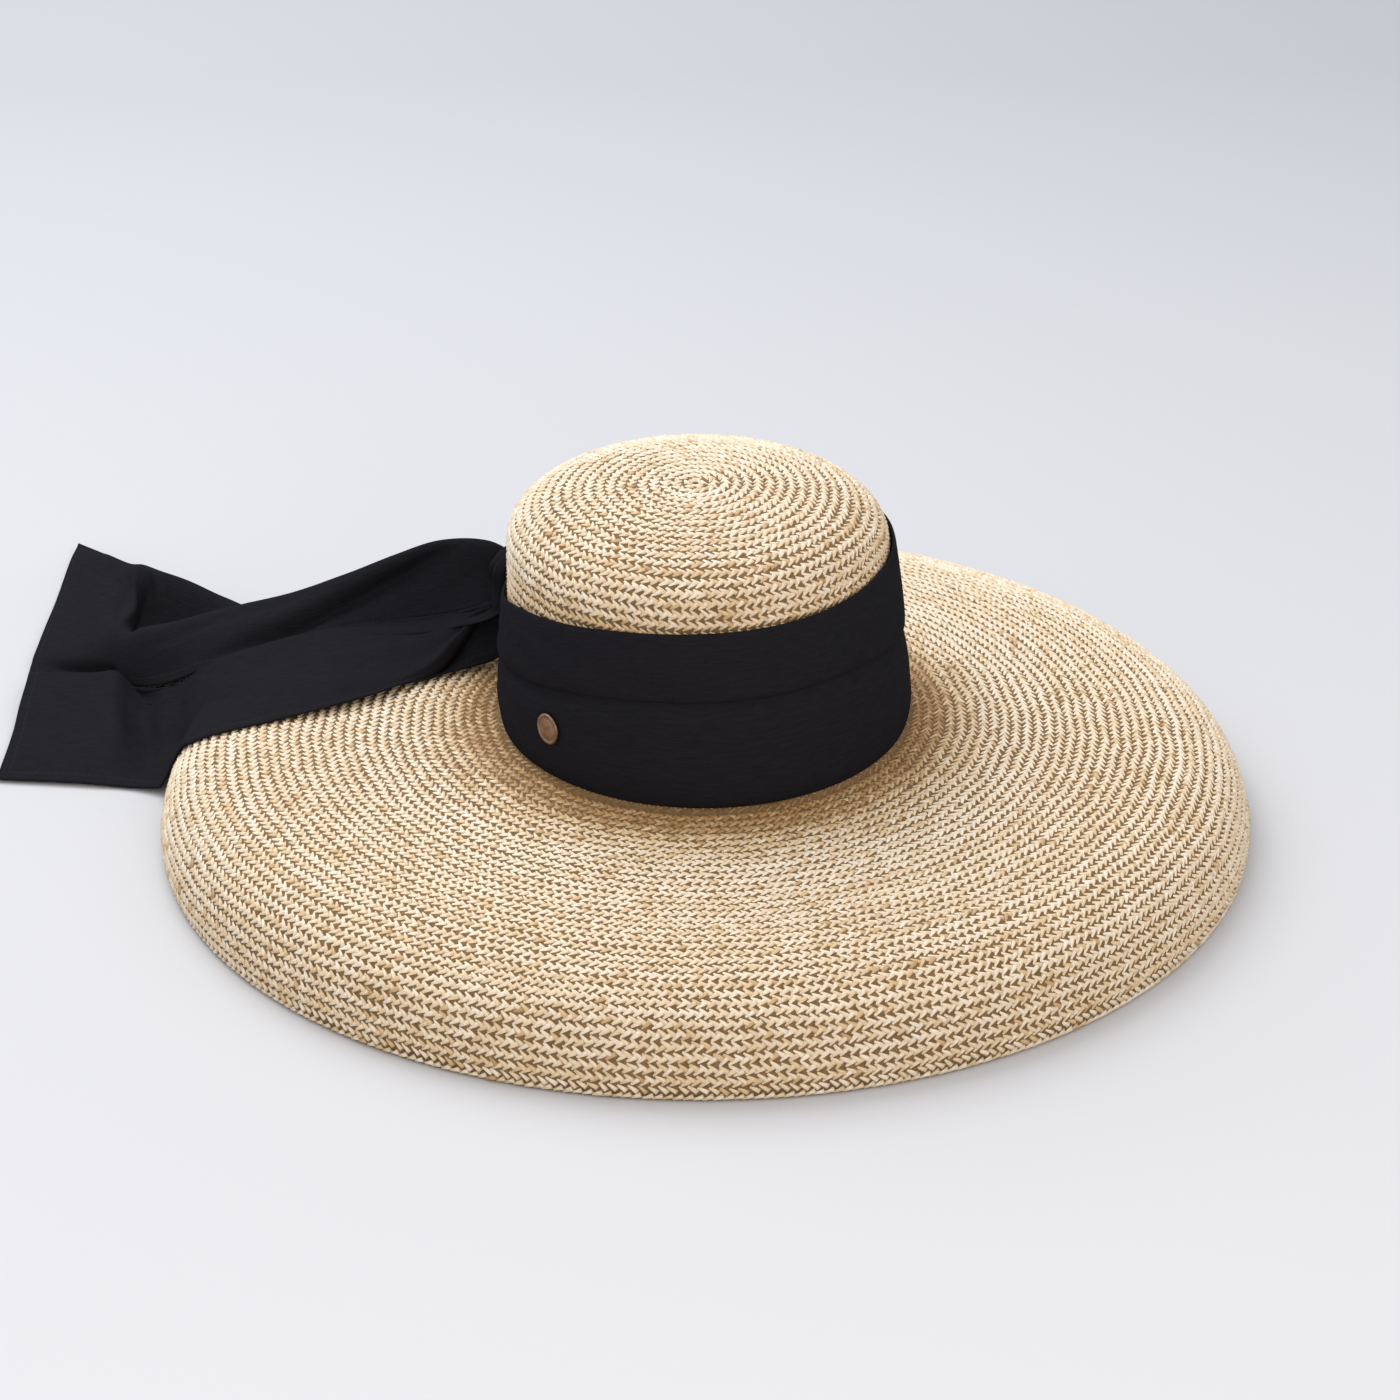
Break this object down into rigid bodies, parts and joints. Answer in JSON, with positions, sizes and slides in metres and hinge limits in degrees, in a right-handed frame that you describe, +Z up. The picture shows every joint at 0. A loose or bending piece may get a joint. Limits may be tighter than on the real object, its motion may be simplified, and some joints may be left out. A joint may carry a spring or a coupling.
{
  "type": "wide-brim straw hat",
  "caption": "Wide-brim woven straw hat with a round crown, a turned-down rim and a dark cloth sash tied at the back with trailing tails.",
  "frame": {"origin": "on the upright axis of the hat, in the plane of its rim and of the surface that it rests on: the middle of the open underside where the head goes in", "axes": "+Z up through the crown; -Y is the front of the hat; the tails of the sash trail towards -X"},
  "size_m": [0.5883, 0.5539, 0.1646],
  "materials": {
    "straw": "woven pale straw, matt",
    "sash": "plain woven black cloth, matt",
    "badge": "dull copper-brown metal"
  },
  "bodies": {
    "root": {"crown": "straw", "brim": "straw", "sash_band": "sash", "sash_knot": "sash", "sash_tail_front": "sash", "sash_tail_back": "sash", "badge": "badge"}
  },
  "joints": []
}
